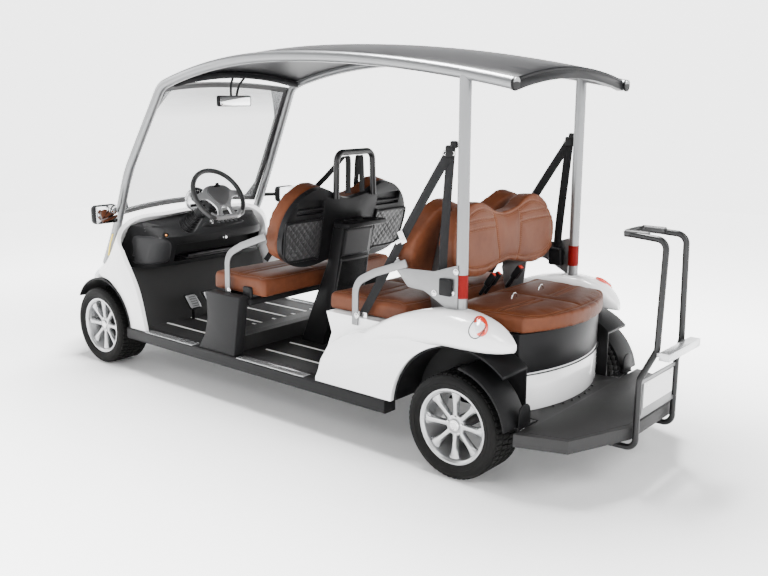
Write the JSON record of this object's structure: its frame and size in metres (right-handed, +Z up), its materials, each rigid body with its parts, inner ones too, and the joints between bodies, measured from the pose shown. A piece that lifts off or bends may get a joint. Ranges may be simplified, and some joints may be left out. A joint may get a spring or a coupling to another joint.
{
  "type": "golf cart",
  "caption": "Open golf cart with a bent-tube roof, windscreen, front and second benches, a seat facing the rear over a foot platform, and a grab bar.",
  "frame": {"origin": "centre of the box's underside, on the ground under the vehicle's middle", "axes": "+X forward along the vehicle, +Y to its left, +Z up"},
  "size_m": [3.7929, 1.53, 1.8399],
  "materials": {
    "aluminium": "satin",
    "black_gloss": "gloss",
    "black_plastic": "satin",
    "glass": "clear",
    "grey_plastic": "satin",
    "lamp_clear": "gloss",
    "leather": "satin",
    "rubber": "matt",
    "steel": "satin",
    "steel_black": "satin",
    "tyre": "matt",
    "webbing": "matt",
    "white_paint": "gloss"
  },
  "bodies": {
    "frame": {"chassis_frame": "steel_black", "axles": "steel_black", "leaf_springs": "steel_black", "battery_pack": "steel", "floor_pan": "rubber", "side_sills": "grey_plastic", "front_body": "white_paint", "front_bumper": "black_plastic", "arch_liners": "black_plastic", "lamps": "lamp_clear", "dashboard": "black_plastic", "steering_column": "black_plastic", "pedals": "aluminium", "windscreen_glass": "glass", "windscreen_frame": "rubber", "roof_tubes": "aluminium", "roof_crossbars": "black_gloss", "rear_pillars": "aluminium", "roof_panel": "black_gloss", "mirrors": "black_plastic", "front_seat_frame": "grey_plastic", "seat_cushions": "leather", "seat_backs": "leather", "front_seat_shell": "black_plastic", "console_column": "black_plastic", "belt_hoop": "steel_black", "armrests": "aluminium", "rear_body": "white_paint", "rear_apron": "black_gloss", "rear_valance": "white_paint", "back_brackets": "aluminium", "seat_belts": "webbing", "rear_platform": "grey_plastic", "grab_bar": "steel_black", "rear_plate": "aluminium", "lamp_bar": "white_paint"},
    "steering_wheel": {"steering_wheel": "black_plastic"},
    "knuckle_left": {"knuckle_left": "steel_black"},
    "knuckle_right": {"knuckle_right": "steel_black"},
    "wheel_front_left": {"tyre_front_left": "tyre", "rim_front_left": "aluminium"},
    "wheel_front_right": {"tyre_front_right": "tyre", "rim_front_right": "aluminium"},
    "wheel_rear_left": {"tyre_rear_left": "tyre", "rim_rear_left": "aluminium"},
    "wheel_rear_right": {"tyre_rear_right": "tyre", "rim_rear_right": "aluminium"}
  },
  "joints": [
    {"name": "steer_left", "type": "hinge", "parent": "frame", "child": "knuckle_left", "pos_m": [1.4535, 0.452, 0.2298], "axis": [0, 0, 1], "range_deg": [-30, 30]},
    {"name": "steer_right", "type": "hinge", "parent": "frame", "child": "knuckle_right", "pos_m": [1.4535, -0.452, 0.2298], "axis": [0, 0, 1], "range_deg": [-30, 30]},
    {"name": "steering_wheel_turn", "type": "hinge", "parent": "frame", "child": "steering_wheel", "pos_m": [0.7085, 0.255, 1.038], "axis": [-0.8387, 0, 0.5446], "range_deg": [-480, 480]},
    {"name": "front_left_spin", "type": "hinge", "parent": "knuckle_left", "child": "wheel_front_left", "pos_m": [1.4535, 0.4975, 0.2298], "axis": [0, 1, 0], "continuous": true},
    {"name": "front_right_spin", "type": "hinge", "parent": "knuckle_right", "child": "wheel_front_right", "pos_m": [1.4535, -0.4975, 0.2298], "axis": [0, 1, 0], "continuous": true},
    {"name": "rear_left_spin", "type": "hinge", "parent": "frame", "child": "wheel_rear_left", "pos_m": [-1.1535, 0.4975, 0.2298], "axis": [0, 1, 0], "continuous": true},
    {"name": "rear_right_spin", "type": "hinge", "parent": "frame", "child": "wheel_rear_right", "pos_m": [-1.1535, -0.4975, 0.2298], "axis": [0, 1, 0], "continuous": true}
  ],
  "couplings": [
    {"joint": "steer_right", "follows": "steer_left", "ratio": 1},
    {"joint": "steering_wheel_turn", "follows": "steer_left", "ratio": 16}
  ]
}
